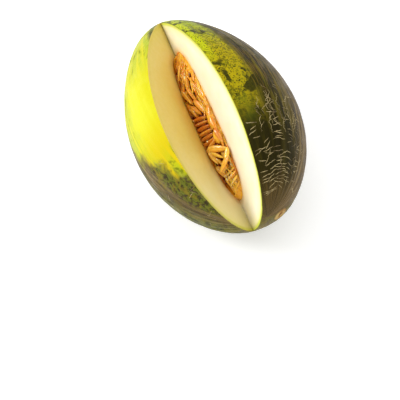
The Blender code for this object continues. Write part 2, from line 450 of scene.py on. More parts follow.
# Where the markings lie. Angles run from the top in degrees, and shares along the fruit from -1 to 1 at the
# stem end. Three numbers are a band's two sides and the softness of its edges, and two are a fade's ends
rindMarks = dict(
    wander=26.0, topAngle=4.0, sides=(30.0, 66.0), sidesFade=(88.0, 116.0), underside=(84.0, 112.0),
    darkStripe=(22.0, 40.0, 6.0), umberSides=(18.0, 82.0, 8.0), umberAlong=(0.55, 0.05),
    leafyEdge=(-2.0, 15.0, 4.0), leafyAlong=(0.66, 0.40), stemAlong=(0.30, 0.62),
    stemSides=(-46.0, 52.0, 10.0),
    bandAlong=(0.12, 0.56), bandSides=(-12.0, 24.0, 5.0), bandTone=(-0.75, -0.1), litEdge=(-4.0, 9.0, 3.0),
    litAlong=(0.0, -0.3), patchSides=(-94.0, 0.0, 5.0), patchBeside=(-38.0, -26.0), patchAlong=(0.36, 0.60),
    patchSlant=-0.016, patchMiddle=66.0, highlightAlong=(-0.5, 0.12, 0.25), highlightSides=(-78.0, -50.0, 12.0),
    goldAlong=(-0.02, 0.4), greenAlong=(-0.25, -0.75), greenFar=(-66.0, -84.0), greenEnd=(0.2, 0.6),
    belowSides=(-84.0, -40.0, 6.0), belowAlong=(0.30, 0.84, 0.08), tipAlong=(-0.72, -0.97),
    stemBrownAlong=(0.80, 0.97),
)


def rindMaterial():
    look, marks = rindLook, rindMarks
    made, bench, shader = newMaterial(
        "melonRind", Coat_Weight=look["coat"], Coat_Roughness=look["coatRoughness"], IOR=1.42,
        Specular_IOR_Level=look["specular"],
    )
    place = objectPlace(bench)
    along, around, across, up, _ = bench.group(fruitPlace)
    skin = bench.joined(along, across, up)
    streaks = bench.noise(bench.stretched(skin, 1.1, 6.0, 6.0), 2.2, 5.0, 0.6, 0.4)
    fineStreaks = bench.noise(bench.stretched(skin, 3.0, 26.0, 26.0), 2.4, 4.0, 0.65, 0.5)
    mottle = bench.noise(place, 110.0, 5.0, 0.65, 0.3)
    blotches = bench.noise(bench.stretched(place, 0.75, 1.0, 1.0), 62.0, 3.0, 0.55, 0.6)
    freckle = bench.noise(place, 330.0, 3.0, 0.6, 0.3)

    def shifted(value, noise, amount):
        # A place that a noise moves to and fro
        return bench.plus(value, bench.times(bench.less(noise, 0.5), amount))

    angle = shifted(around, streaks, marks["wander"])

    # Dark ground with lengthwise streaks, browner down the sides, where grey-brown streaks are partly the
    # rind's own tone and partly painted sheen
    ground = bench.ramp(
        bench.plus(bench.times(streaks, 0.6), bench.times(fineStreaks, 0.4)),
        (0.38, look["deepGreen"]), (0.50, look["green"]), (0.62, look["olive"]),
    )
    fromTop = bench.math("ABSOLUTE", bench.plus(angle, -marks["topAngle"]))
    side = bench.times(
        bench.between(fromTop, *marks["sides"]), bench.between(fromTop, *marks["sidesFade"], 1.0, 0.15)
    )
    brownAndSheen = bench.layered(
        look["plum"], (bench.between(fineStreaks, 0.38, 0.60), look["brown"]),
        (bench.between(streaks, 0.48, 0.66, 0.0, 0.8), look["greyBrownSheen"]),
    )
    speckled = bench.ramp(
        bench.plus(bench.times(bench.noise(place, 210.0, 4.0, 0.6), 0.6), bench.times(streaks, 0.4)),
        (0.40, look["deepGreen"]), (0.50, look["leaf"]), (0.60, look["olive"]),
    )
    stripe = bench.times(bench.band(angle, *marks["darkStripe"]), bench.between(streaks, 0.58, 0.42))
    umber = bench.times(bench.band(around, *marks["umberSides"]), bench.between(along, *marks["umberAlong"]))
    umber = bench.times(umber, bench.between(fineStreaks, 0.47, 0.60))
    leafyEdge = bench.times(
        bench.band(around, *marks["leafyEdge"]), bench.between(along, *marks["leafyAlong"])
    )

    # The stem half of the upper side is nearly black green
    stemHalf = bench.times(bench.between(along, *marks["stemAlong"]), bench.band(angle, *marks["stemSides"]))
    colour = bench.layered(
        ground, (bench.times(bench.between(fromTop, *marks["underside"]), 0.85), speckled),
        (bench.times(side, 0.8), brownAndSheen), (bench.times(stripe, 0.85), look["deepGreen"]),
        (bench.times(umber, 0.7), look["umber"]),
        (bench.times(leafyEdge, bench.between(mottle, 0.42, 0.58, 0.2, 0.9)), look["leaf"]),
        (bench.times(stemHalf, 0.85), look["deepGreen"]),
    )

    # Speckled band beside the cut, from the blossom end to past the middle
    bandEnds = bench.between(shifted(along, mottle, 0.5), *marks["bandAlong"], 1.0, 0.0)
    inBand = bench.times(bench.band(angle, *marks["bandSides"]), bandEnds)
    litEdge = bench.times(bench.band(around, *marks["litEdge"]), bench.between(along, *marks["litAlong"]))
    bandColour = bench.layered(
        look["greenYellow"], (bench.between(along, *marks["bandTone"]), look["bandOlive"]),
        (bench.between(freckle, 0.50, 0.60, 0.0, 0.65), look["leaf"]),
        (bench.times(litEdge, 0.8), look["edgeYellow"]),
        (bench.between(blotches, 0.53, 0.59, 0.0, 0.95), look["green"]),
    )
    inBand = bench.times(inBand, bench.between(mottle, 0.30, 0.46))
    colour = bench.mixed(inBand, colour, bandColour)

    # Ground patch, where the fruit lay on the soil and ripened yellow
    patchAngle = shifted(around, mottle, 18.0)
    patchLong = shifted(along, blotches, 0.5)
    slant = bench.times(bench.plus(patchAngle, marks["patchMiddle"]), marks["patchSlant"])
    beside = bench.between(patchAngle, *marks["patchBeside"], 1.0, 0.0)
    patchEnd = bench.between(bench.plus(patchLong, slant), *marks["patchAlong"], 1.0, 0.0)
    inPatch = bench.times(bench.times(bench.band(patchAngle, *marks["patchSides"]), beside), patchEnd)
    # Painted highlight: a paler yellow stripe down the middle of the patch
    pale = bench.times(bench.band(along, *marks["highlightAlong"]), bench.band(patchAngle, *marks["highlightSides"]))
    greener = bench.plus(
        bench.between(along, *marks["greenAlong"]), bench.between(patchAngle, *marks["greenFar"])
    )
    greener = bench.plus(greener, bench.between(along, *marks["greenEnd"]))
    greener = bench.math("MINIMUM", bench.times(greener, bench.between(streaks, 0.40, 0.58)), 0.9)
    speckle = bench.times(bench.between(mottle, 0.52, 0.66), bench.between(greener, 0.1, 0.7))
    yellows = bench.layered(
        look["yellow"], (bench.times(pale, 0.8), look["highlightYellow"]),
        (bench.between(along, *marks["goldAlong"]), look["gold"]), (greener, look["greenYellow"]),
        (bench.times(speckle, 0.8), look["leaf"]),
    )
    colour = bench.mixed(inPatch, colour, yellows)

    # Green, speckled ground between the patch and the stem
    below = bench.times(
        bench.band(patchAngle, *marks["belowSides"]), bench.band(patchLong, *marks["belowAlong"])
    )
    belowTone = bench.layered(
        look["deepGreen"], (bench.between(freckle, 0.42, 0.56), look["leaf"]),
        (bench.between(mottle, 0.50, 0.62, 0.0, 0.8), look["olive"]),
    )

    # Greenish yellow all round the blossom end, and pores that are fine in the band and sparse elsewhere
    tipGlow = bench.times(bench.between(along, *marks["tipAlong"]), bench.between(mottle, 0.35, 0.55))
    pores = bench.between(bench.cells(place, look["poreScale"]), 0.20, 0.48, 1.0, 0.0)
    pores = bench.times(pores, bench.between(bench.noise(place, 380.0, 2.0), 0.36, 0.50))
    unpatched = bench.less(1.0, inPatch)
    poreAmount = bench.times(bench.plus(bench.times(inBand, 0.95), 0.15), unpatched)

    # Brown towards the stem scar, and pale tan on its ring
    stemBrown = bench.times(
        bench.between(along, *marks["stemBrownAlong"]), bench.between(fineStreaks, 0.35, 0.6)
    )
    scarTone = bench.mark("scarTone")
    scarColour = bench.mixed(bench.between(mottle, 0.35, 0.6), look["tan"], look["scarBrown"])
    colour = bench.layered(
        colour, (bench.times(below, bench.times(unpatched, 0.8)), belowTone),
        (bench.times(tipGlow, 0.7), look["greenYellow"]), (bench.times(pores, poreAmount), look["pore"]),
        (bench.times(stemBrown, 0.7), look["brown"]), (bench.between(scarTone, 0.2, 0.8), scarColour),
        (bench.between(bench.mark("scarHeart"), 0.2, 0.8), look["scarHeart"]),
    )

    bench.feed(shader.inputs["Base Color"], colour)
    rough = bench.between(mottle, 0.3, 0.7, *look["roughness"])
    bench.feed(shader.inputs["Roughness"], bench.plus(rough, bench.times(scarTone, look["scarRoughness"])))
    relief = bench.bump(bench.times(pores, -1.0), look["poreDepth"], 0.6)
    relief = bench.bump(fineStreaks, look["streakRise"], 0.5, relief)
    bench.feed(shader.inputs["Normal"], bench.bump(mottle, look["mottleRise"], 0.35, relief))
    return made


# Flesh

# shade is a painted shade for the left cut face; warm and glow also tint that face as painted bounce light,
# besides the flesh's own tones
fleshLook = dict(
    cream=paint(252, 245, 222), pale=paint(244, 238, 190), lime=paint(206, 214, 80), skin=paint(92, 112, 20),
    glow=paint(240, 190, 72), edge=paint(232, 156, 44), warm=paint(248, 222, 120), crease=paint(190, 172, 70),
    shade=paint(227, 226, 204), filmGrain=1400.0, dry=0.5, wet=0.3, filmRise=0.25 * mm, filmStrength=0.5,
)


def fleshMaterial():
    look = fleshLook
    made, bench, shader = newMaterial(
        "melonFlesh", Subsurface_Weight=0.25, Subsurface_Radius=(1.0, 0.8, 0.4), Subsurface_Scale=0.003,
        Coat_Weight=0.25, Coat_Roughness=0.25, IOR=1.4,
    )
    place = objectPlace(bench)
    depth = bench.group(fruitPlace)["Depth"]
    distance, core, side, ahead = bench.group(cavityPlace)
    grain = bench.noise(place, 420.0, 4.0, 0.6)
    cloud = bench.noise(place, 70.0, 3.0, 0.5)
    depth = bench.plus(depth, bench.times(bench.less(grain, 0.5), 0.5))
    colour = bench.ramp(
        bench.between(depth, 0.0, 14.0, kind="LINEAR"),
        (0.0, look["skin"]), (0.03, look["skin"]), (0.06, look["lime"]), (0.12, look["lime"]),
        (0.28, look["pale"]), (0.7, look["cream"]),
    )
    # On the left cut face, which lies in shade, a warm tint and a wider golden glow towards the cavity are
    # painted warm bounce light
    leftSide = bench.between(side, 1.0, -1.0)
    leftShadeWarmth = bench.between(ahead, 10.0, 75.0, 0.9, 0.35)
    near = bench.plus(distance, bench.times(bench.less(cloud, 0.5), 5.0))
    middle = bench.band(ahead, -34.0, 38.0, 26.0)
    leftShadeGlow = bench.times(bench.between(near, 0.0, 20.0, 0.85, 0.0), bench.times(leftSide, middle))
    crease = bench.times(bench.between(core, 0.0, 2.6, 0.6, 0.0), bench.between(ahead, -56.0, -72.0))
    colour = bench.layered(
        colour, (bench.times(leftSide, leftShadeWarmth), look["warm"]), (leftShadeGlow, look["glow"]),
        (bench.between(near, 0.0, 5.0, 0.5, 0.0), look["glow"]),
        (bench.between(near, 0.0, 1.0, 0.6, 0.0), look["edge"]), (crease, look["crease"]),
        (bench.between(cloud, 0.35, 0.75, 0.0, 0.15), look["warm"]),
    )
    # Painted shade: the left cut face is darkened, less so next to the cavity
    paintedShadeMask = bench.times(leftSide, bench.between(near, 0.0, 14.0, 0.4, 1.0))
    colour = bench.mixed(paintedShadeMask, colour, look["shade"], "MULTIPLY")
    bench.feed(shader.inputs["Base Color"], colour)
    wetSurface(bench, shader, look)
    return made


# Body of the melon

melonMesh = dict(
    stepsAlong=236, stepsAround=288, wrinkle=0.05 * mm, swell=0.25 * mm, knifeWave=0.14 * mm,
    cutStep=1.3 * mm, cavityWave=0.12 * mm, cavitySteps=120, skinSize=0.955, skinFacing=0.55, sharp=38 * deg,
    blossomRing=3.6 * mm, blossomRise=0.35 * mm, blossomDish=0.3 * mm,
)


def scarCentre():
    offAxis = math.hypot(scar["side"], scar["rise"])
    low, high = 0.0, 1.0
    for _ in range(40):
        middle = (low + high) / 2
        if float(ringRadius(np.array(middle))) > offAxis:
            low = middle
        else:
            high = middle
    return np.array((low * fruit["length"] / 2, scar["side"], scar["rise"]))


def skinRise(share, angle):
    # How far the real skin stands proud of the smooth fruit
    shape = melonMesh
    draws = np.random.RandomState(5)
    rise = np.zeros(np.broadcast(share, angle).shape)
    for _ in range(5):
        turns, waves, phase = draws.randint(2, 6), draws.uniform(-2.5, 2.5), draws.uniform(0, math.tau)
        rise += shape["swell"] / 3 * np.sin(turns * angle + waves * share + phase)
    for _ in range(14):
        turns, waves, phase = draws.randint(30, 84), draws.uniform(-9, 9), draws.uniform(0, math.tau)
        rise += shape["wrinkle"] / 2 * np.sin(turns * angle + waves * share + phase)
    return rise * smoothStep(1.0, 0.9, np.abs(share))


def skinPoints(share, angle):
    # Points on the real skin about the fruit's own axis, and how much each belongs to the scar
    share, angle = np.broadcast_arrays(share, angle)
    smooth = ringRadius(share)
    points = aboutAxis(share * fruit["length"] / 2, smooth, angle)
    slope = (ringRadius(share + 1e-4) - ringRadius(share - 1e-4)) / (1e-4 * fruit["length"])
    slope = np.clip(slope, -30, 30)
    outward = np.stack([-slope, np.sin(angle), np.cos(angle)], -1)
    outward /= np.linalg.norm(outward, axis=-1, keepdims=True)
    rise = skinRise(share, angle)
    away = np.linalg.norm(points - scarCentre(), axis=-1)
    ragged = RandomField(31)
    wobble = 0.5 * mm * ragged.at(points[..., 1] / (2 * mm), points[..., 2] / (2 * mm))
    crest = scar["radius"] - scar["ring"] / 2
    ring = np.exp(-((away + wobble - crest) / (0.42 * scar["ring"])) ** 2)
    dish = smoothStep(crest, 0.35 * crest, away + wobble)
    rise = rise * (1 - dish) + scar["ringRise"] * ring * (1 + 0.25 * wobble / mm) - scar["dish"] * dish
    blossom = np.linalg.norm(points - np.array((-fruit["length"] / 2, 0, 0)), axis=-1)
    rise += melonMesh["blossomRise"] * np.exp(-((blossom - melonMesh["blossomRing"]) / (1.3 * mm)) ** 2)
    rise -= melonMesh["blossomDish"] * np.exp(-(blossom / (2 * mm)) ** 2)
    points = points + outward * rise[..., None]
    points[..., 2] = np.maximum(points[..., 2], -axisHeight)
    tone = np.maximum(np.exp(-((away - crest) / (0.75 * scar["ring"])) ** 2), dish)
    tone = np.maximum(tone, 0.8 * smoothStep(5.0 * mm, melonMesh["blossomRing"], blossom + wobble))
    return points, outward, tone, smoothStep(0.8 * crest, 0.4 * crest, away + wobble)


def wholeMelon(rind, flesh):
    shape = melonMesh
    share = -np.cos(poleTurns(shape["stepsAlong"]))[:, None]
    angle = fullCircle(shape["stepsAround"])
    points, _, tone, heart = skinPoints(share, angle)
    poles, _, poleTone, poleHeart = skinPoints(np.array((-0.999999, 0.999999)), np.zeros(2))
    poles[:, 1:] = 0
    points, faces = closedShell(points, poles)
    marks = dict(scarTone=np.append(tone, poleTone), scarHeart=np.append(heart, poleHeart))
    return meshObject("melonWithWedgeOut", moved(points, fruitFrame), faces, [rind, flesh], marks)


def wedgeCutter(flesh):
    # A long prism that opens upwards, with a knife's faint waves on its two cut faces
    shape = melonMesh
    reach = fruit["length"] * 0.6
    alongs = np.arange(-reach, reach + 1e-6, shape["cutStep"])
    outs = np.append(np.arange(0, 92 * mm, shape["cutStep"]), 0.17)
    half = wedge["angle"] / 2
    waves, fine = RandomField(11), RandomField(12)
    sheets = []
    for sign in (-1, 1):
        x, out = np.meshgrid(alongs, outs, indexing="ij")
        wave = waves.at(x / (26 * mm) + 40 * sign, out / (15 * mm))
        wave = wave + 0.35 * fine.at(x / (6 * mm), out / (5 * mm))
        wave = wave * shape["knifeWave"] * smoothStep(0, 6 * mm, out) * (out < 0.1)
        y = sign * (out * math.sin(half) + wave * math.cos(half))
        z = out * math.cos(half) - wave * math.sin(half)
        sheets.append(np.stack([x, y, z], -1))
    rows, columns = sheets[0].shape[:2]
    points = np.concatenate([sheets[0].reshape(-1, 3), sheets[1][:, 1:].reshape(-1, 3)])

    def corner(side, row, column):
        if side == 0 or column == 0:
            return row * columns + column
        return rows * columns + row * (columns - 1) + column - 1

    faces = []
    for row in range(rows - 1):
        for column in range(columns - 1):
            for side in (0, 1):
                quad = [
                    corner(side, row, column), corner(side, row, column + 1),
                    corner(side, row + 1, column + 1), corner(side, row + 1, column),
                ]
                faces.append(quad[::-1] if side == 0 else quad)
        faces.append((
            corner(0, row, columns - 1), corner(0, row + 1, columns - 1),
            corner(1, row + 1, columns - 1), corner(1, row, columns - 1),
        ))
    for row in (0, rows - 1):
        outline = [corner(0, row, column) for column in range(columns - 1, 0, -1)]
        outline += [corner(1, row, column) for column in range(columns)]
        faces.append(outline)
    made = meshObject("wedgeCutter", moved(points, wedgeFrame), faces, [flesh])
    faceOutwards(made)
    return made


def faceOutwards(made):
    shape = bmesh.new()
    shape.from_mesh(made.data)
    bmesh.ops.recalc_face_normals(shape, faces=shape.faces)
    shape.to_mesh(made.data)
    shape.free()


def cavityCutter(flesh):
    shape = melonMesh
    turns = poleTurns(shape["cavitySteps"])
    along = -np.cos(turns)[:, None] * cavity["length"] / 2
    angle = fullCircle(shape["cavitySteps"])
    waves = RandomField(17)
    ripple = waves.at(along / (7 * mm), np.cos(angle) * 3.1 + 9)
    ripple = ripple + waves.at(along / (3 * mm) + 50, angle * 9 / math.tau * 2)
    radius = cavityRadius(along) + shape["cavityWave"] * 0.5 * ripple * np.sin(turns)[:, None] ** 0.5
    points, faces = closedShell(aboutAxis(along, radius, angle), axisEnds(cavity["length"] / 2))
    return meshObject("cavityCutter", moved(points, cavityFrame), faces, [flesh])


def buildMelon():
    rind, flesh = rindMaterial(), fleshMaterial()
    melon = wholeMelon(rind, flesh)
    cutters = [wedgeCutter(flesh), cavityCutter(flesh)]
    for cutter in cutters:
        step = melon.modifiers.new(cutter.name, "BOOLEAN")
        step.operation, step.solver, step.object = "DIFFERENCE", "MANIFOLD", cutter
        step.material_mode = "TRANSFER"
    appliedObject(melon, "melonWithWedgeOut")
    for cutter in cutters:
        bpy.data.objects.remove(cutter, do_unlink=True)
    sortFaces(melon, rind, flesh)
    finishPiece(melon, "rind_and_flesh", "melon_body")


def sortFaces(melon, rind, flesh):
    # The skin's faces take the rind and every cut face takes the flesh
    mesh = melon.data
    mesh.materials.clear()
    mesh.materials.append(rind)
    mesh.materials.append(flesh)
    centres = readVectors(mesh.polygons, "center") - (0, 0, axisHeight)
    normals = readVectors(mesh.polygons, "normal")
    share = centres[:, 0] / (fruit["length"] / 2)
    off = np.hypot(centres[:, 1], centres[:, 2])
    full = fruit["belly"] * (1 + fruit["stemFullness"] * share - fruit["endTuck"] * share * share)
    size = np.hypot(share, off / full)
    outward = centres / np.stack([np.full(len(full), (fruit["length"] / 2) ** 2), full ** 2, full ** 2], -1)
    outward /= np.linalg.norm(outward, axis=-1, keepdims=True)
    facing = (outward * normals).sum(-1)
    skin = (size > melonMesh["skinSize"]) & (facing > melonMesh["skinFacing"])
    mesh.polygons.foreach_set("material_index", np.where(skin, 0, 1).astype(np.int32))
    mesh.polygons.foreach_set("use_smooth", [True] * len(mesh.polygons))
    mesh.set_sharp_from_angle(angle=melonMesh["sharp"])
    mesh.update()


buildMelon()
print("melon body done")


# Seeds: a finer husk in the place of each seed of the CAD

seedLook = dict(
    husk=paint(238, 156, 40), pale=paint(255, 206, 72), deep=paint(196, 92, 12), fibre=paint(255, 212, 92),
    rust=paint(186, 82, 14),
    length=16 * mm, width=6.2 * mm, thickness=2.8 * mm, ringsAlong=26, stepsAround=22,
    warp=0.16 * mm, curl=0.35 * mm, fibreRise=0.25 * mm,
    filmGrain=1500.0, dry=0.4, wet=0.16, filmRise=0.2 * mm, filmStrength=0.5,
)


def seedMaterial():
    look = seedLook
    made, bench, shader = newMaterial(
        "seedHusk", Subsurface_Weight=0.3, Subsurface_Radius=(1.0, 0.45, 0.15), Subsurface_Scale=0.002,
        Coat_Weight=0.8, Coat_Roughness=0.12, IOR=1.45,
    )
    place = objectPlace(bench)
    flow = bench.stretched(bench.mark("seedFlow", "Vector"), 120.0, 900.0, 900.0)
    fibres = bench.noise(flow, 1.0, 4.0, 0.6, 0.3)
    cloud = bench.noise(place, 330.0, 3.0, 0.55)
    tones = (0.0, look["deep"]), (0.45, look["husk"]), (1.0, look["pale"])
    colour = bench.layered(
        bench.ramp(bench.mark("seedTint"), *tones),
        (bench.between(fibres, 0.42, 0.68, 0.0, 0.55), look["fibre"]),
        (bench.between(cloud, 0.48, 0.72, 0.0, 0.4), look["deep"]),
        (bench.between(bench.mark("seedRim"), 0.6, 1.0, 0.0, 0.6), look["rust"]),
    )
    bench.feed(shader.inputs["Base Color"], colour)
    wetSurface(bench, shader, look, bench.bump(fibres, look["fibreRise"], 0.6))
    return made


def seedPose(node):
    # Centre, axes and size share of a CAD seed, from its own corners. X goes to its pointed end
    corners = np.array([node.matrix_world @ vert.co for vert in node.data.vertices])
    middle = corners.mean(0)
    _, axes = np.linalg.eigh(np.cov((corners - middle).T))
    axes = axes[:, ::-1].T
    local = (corners - middle) @ axes.T
    half = (local[:, 0].max() - local[:, 0].min()) / 2
    centre = (local.max(0) + local.min(0)) / 2
    local -= centre
    ahead = np.hypot(local[:, 1], local[:, 2])[local[:, 0] > 0.55 * half].mean()
    behind = np.hypot(local[:, 1], local[:, 2])[local[:, 0] < -0.55 * half].mean()
    middle = middle + centre @ axes
    if ahead > behind:
        axes[0] *= -1
    axes[2] = np.cross(axes[0], axes[1])
    return middle, axes, 2 * half / seedLook["length"]


def seedShape(number, share):
    # Corners of one husk about its own middle, in metres, with its marks
    look = seedLook
    rings, around = look["ringsAlong"], look["stepsAround"]
    draws = np.random.RandomState(100 + number)
    turns = poleTurns(rings)[:, None]
    angle = fullCircle(around)
    swell = (1 - np.abs(np.cos(turns)) ** 2.35) ** (1 / 2.1) * (1 - 0.13 * (1 - np.cos(turns)) ** 1.5)
    swell = swell * (1 + 0.05 * draws.uniform(-1, 1) * np.cos(turns))
    along = np.broadcast_to(-np.cos(turns), (rings - 1, around))
    wide = swell * np.sign(np.sin(angle)) * np.abs(np.sin(angle)) ** 0.92
    thick = swell * np.sign(np.cos(angle)) * np.abs(np.cos(angle)) ** 1.12
    field = RandomField(300 + number)
    warp = look["warp"] * field.at(along * 3.2 + 20, angle * 6 / math.tau) * np.sin(turns)
    curl = look["curl"] * draws.uniform(-1, 1) * (along ** 2 - 0.4)
    points = np.stack([
        along * look["length"] / 2,
        wide * (look["width"] / 2 - look["warp"] + warp),
        thick * (look["thickness"] / 2 - look["warp"] * 0.5 + 0.5 * warp) + curl * 0.5,
    ], -1)
    ends = axisEnds(look["length"] / 2)
    ends[:, 2] = 0.5 * curl[0, 0]
    points, faces = closedShell(points, ends)
    rim = np.broadcast_to(np.abs(np.sin(angle)) ** 3, (rings - 1, around)).ravel()
    return points * share, faces, rim, draws


def buildSeeds():
    husk = seedMaterial()
    names = sorted(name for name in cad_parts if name.startswith("seed_") and name != "seed_pulp")
    seeds = []
    for number, name in enumerate(names, start=1):
        centre, axes, share = seedPose(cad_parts[name])
        points, faces, rim, draws = seedShape(number, share)
        world = points @ axes + centre
        here = cavityFrame.inverted() @ Vector(centre)
        golden = smoothStep(14 * mm, 30 * mm, here.x) + 0.5 * smoothStep(-12 * mm, -30 * mm, here.x)
        tint = np.full(len(points), np.clip(0.2 + 0.65 * golden + draws.uniform(-0.2, 0.3), 0, 1))
        marks = dict(seedTint=tint, seedRim=np.append(rim, (1, 1)))
        seed = meshObject(f"ripeSeed_{number:02d}", world, faces, [husk], marks)
        flow = seed.data.attributes.new("seedFlow", "FLOAT_VECTOR", "POINT")
        flow.data.foreach_set("vector", (points + number * 0.05).astype(np.float32).ravel())
        seeds.append(seed)
        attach(seed, "root")
        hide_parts(name)
    return seeds


# Pulp: a wet bed that hugs the seeds, nearly flush with the cut beside them

# The pulp's dark and deep colours are mostly painted shade for its low places and hollows
pulpLook = dict(
    gold=paint(238, 150, 18), amber=paint(214, 104, 10), honey=paint(250, 180, 50), deep=paint(116, 28, 2),
    dark=paint(78, 14, 0), gap=-0.1 * mm, stepsAlong=380, stepsAcross=150, stepsHidden=36,
    across=(-64 * deg, 20 * deg), strandRise=0.6 * mm, lumpRise=0.5 * mm, pit=1.7 * mm, hug=0.45 * mm,
    rightLip=3.0 * mm, leftLip=0.3 * mm, groove=1.8 * mm, veinRise=0.35 * mm,
    filmGrain=1100.0, dry=0.34, wet=0.1, filmRise=0.3 * mm, filmStrength=0.6,
)
# Soft masses of pulp: their places along the cavity and across it, their half sizes and their rise
pulpMasses = [
    dict(along=5 * mm, across=0 * deg, long=11 * mm, wide=11 * deg, rise=6.2 * mm),
    dict(along=18 * mm, across=-2 * deg, long=7 * mm, wide=13 * deg, rise=6.6 * mm),
    dict(along=-40 * mm, across=-22 * deg, long=8 * mm, wide=8 * deg, rise=4.6 * mm),
    dict(along=-27 * mm, across=-8 * deg, long=8 * mm, wide=6 * deg, rise=3.2 * mm),
    dict(along=36 * mm, across=-1 * deg, long=8 * mm, wide=9 * deg, rise=5.6 * mm),
    dict(along=52 * mm, across=-12 * deg, long=6 * mm, wide=16 * deg, rise=3.8 * mm),
    dict(along=60 * mm, across=-32 * deg, long=6 * mm, wide=26 * deg, rise=3.4 * mm),
    dict(along=-57 * mm, across=-24 * deg, long=6 * mm, wide=16 * deg, rise=2.6 * mm),
]


def pulpMaterial(name="seedPulp", lift=0.0):
    look = pulpLook
    made, bench, shader = newMaterial(
        name, Subsurface_Weight=0.35, Subsurface_Radius=(1.0, 0.4, 0.1), Subsurface_Scale=0.0025,
        Coat_Weight=1.0, Coat_Roughness=0.08, IOR=1.42,
    )
    place = objectPlace(bench)
    cloud = bench.noise(place, 190.0, 4.0, 0.6, 0.4)
    veins = bench.noise(bench.stretched(place, 0.5, 1.6, 1.6), 420.0, 4.0, 0.6, 1.2)
    # Painted shade: on the seed bed pulpRise follows height, so the pulp goes from near black red in its
    # lowest places to honey on top, and darker again in hollows; on the strands pulpRise is a random tone
    level = bench.plus(bench.mark("pulpRise"), bench.times(bench.less(cloud, 0.5), 0.35))
    level = bench.plus(level, lift)
    colour = bench.ramp(
        level, (0.0, look["dark"]), (0.16, look["deep"]), (0.40, look["amber"]), (0.66, look["gold"]),
        (0.95, look["honey"]),
    )
    colour = bench.mixed(bench.between(veins, 0.46, 0.70, 0.0, 0.5), colour, look["honey"], "SCREEN")
    colour = bench.mixed(bench.between(bench.mark("pulpHollowShade"), 0.08, 0.75, 0.0, 0.92), colour, look["deep"])
    bench.feed(shader.inputs["Base Color"], colour)
    wetSurface(bench, shader, look, bench.bump(veins, look["veinRise"], 0.6))
    return made


def wedgeDepths(y, z):
    # How far places in the wedge's frame are inside it, from its +Y and its -Y face
    half = wedge["angle"] / 2
    return z * math.sin(half) - y * math.cos(half), z * math.sin(half) + y * math.cos(half)


def wedgeInside(points):
    # The same for points in the cavity's frame
    return wedgeDepths(points[..., 1] + cavity["side"], points[..., 2] + cavity["rise"])


def surfaceTree(objects):
    shape = bmesh.new()
    for made in objects:
        shape.from_mesh(made.data)
    tree = BVHTree.FromBMesh(shape)
    shape.free()
    return tree


def radialHits(tree, along, angle, start, inward):
    # Distance from the cavity's axis to the first thing met on the way out, or on the way in from start
    hits = np.full(along.shape, np.nan)
    turn = cavityFrame.to_3x3()
    flat = zip(along.ravel(), angle.ravel(), start.ravel())
    for number, (x, turnAngle, first) in enumerate(flat):
        way = turn @ Vector((0, math.sin(turnAngle), math.cos(turnAngle)))
        source = cavityFrame @ Vector((x, 0, 0)) + way * first
        found = tree.ray_cast(source, -way if inward else way, 0.03)
        if found[0] is not None:
            hits.ravel()[number] = first - found[3] if inward else first + found[3]
    return hits


